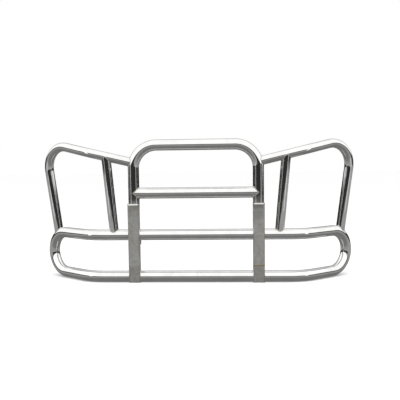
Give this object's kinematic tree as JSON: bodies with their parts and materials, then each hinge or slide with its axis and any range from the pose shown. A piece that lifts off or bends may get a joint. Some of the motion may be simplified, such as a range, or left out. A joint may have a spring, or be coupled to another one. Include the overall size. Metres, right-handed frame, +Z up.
{
  "type": "front grille guard",
  "caption": "Tubular front grille guard for a heavy truck, with hoop, headlamp wings, folded uprights and a fold-forward bracket mount.",
  "frame": {"origin": "middle of the footprint, at the height of the lower bumper tube's underside", "axes": "+Z up, +X across the truck, front of the guard towards -Y and the truck towards +Y"},
  "size_m": [2.248, 0.3278, 0.9883],
  "materials": {
    "polished_tube": "mirror-polished stainless steel tube",
    "satin_plate": "satin stainless steel sheet, folded",
    "ear_coat": "black powder coat on plate",
    "bracket_coat": "black powder coat on plate",
    "zinc_steel": "zinc-plated steel fasteners",
    "lever_steel": "black-oxide steel",
    "grip_rubber": "moulded black rubber",
    "pad_rubber": "black rubber pad",
    "bronze": "sintered bronze"
  },
  "bodies": {
    "truck_brackets": {"left_bracket_plate": "bracket_coat", "right_bracket_plate": "bracket_coat", "left_bracket_lip": "bracket_coat", "right_bracket_lip": "bracket_coat", "pivot_bushes": "bronze", "stop_pins": "zinc_steel"},
    "guard": {"hoop_tube": "polished_tube", "hoop_crossbar": "polished_tube", "upper_bumper_tube": "polished_tube", "lower_bumper_tube": "polished_tube", "left_end_bow": "polished_tube", "right_end_bow": "polished_tube", "left_wing_hoop": "polished_tube", "right_wing_hoop": "polished_tube", "left_wing_strut": "polished_tube", "right_wing_strut": "polished_tube", "left_upright": "satin_plate", "right_upright": "satin_plate", "left_back_plate": "satin_plate", "right_back_plate": "satin_plate", "left_inner_ear": "ear_coat", "left_outer_ear": "ear_coat", "right_inner_ear": "ear_coat", "right_outer_ear": "ear_coat", "ear_spacers": "ear_coat", "bump_pads": "pad_rubber", "pivot_bolts": "zinc_steel", "pivot_washers": "zinc_steel", "pivot_nuts": "zinc_steel", "latch_bolts": "zinc_steel", "latch_washers": "zinc_steel"},
    "left_lever": {"left_clamp_lever": "lever_steel", "left_lever_grip": "grip_rubber"},
    "right_lever": {"right_clamp_lever": "lever_steel", "right_lever_grip": "grip_rubber"}
  },
  "joints": [
    {"name": "guard_fold", "type": "hinge", "parent": "truck_brackets", "child": "guard", "pos_m": [0, -0.04044, 0.07], "axis": [1, 0, 0], "range_deg": [0, 80]},
    {"name": "left_lever_turn", "type": "hinge", "parent": "guard", "child": "left_lever", "pos_m": [-0.412, -0.04444, 0.318], "axis": [1, 0, 0], "range_deg": [0, 120]},
    {"name": "right_lever_turn", "type": "hinge", "parent": "guard", "child": "right_lever", "pos_m": [0.412, -0.04444, 0.318], "axis": [1, 0, 0], "range_deg": [0, 120]}
  ]
}
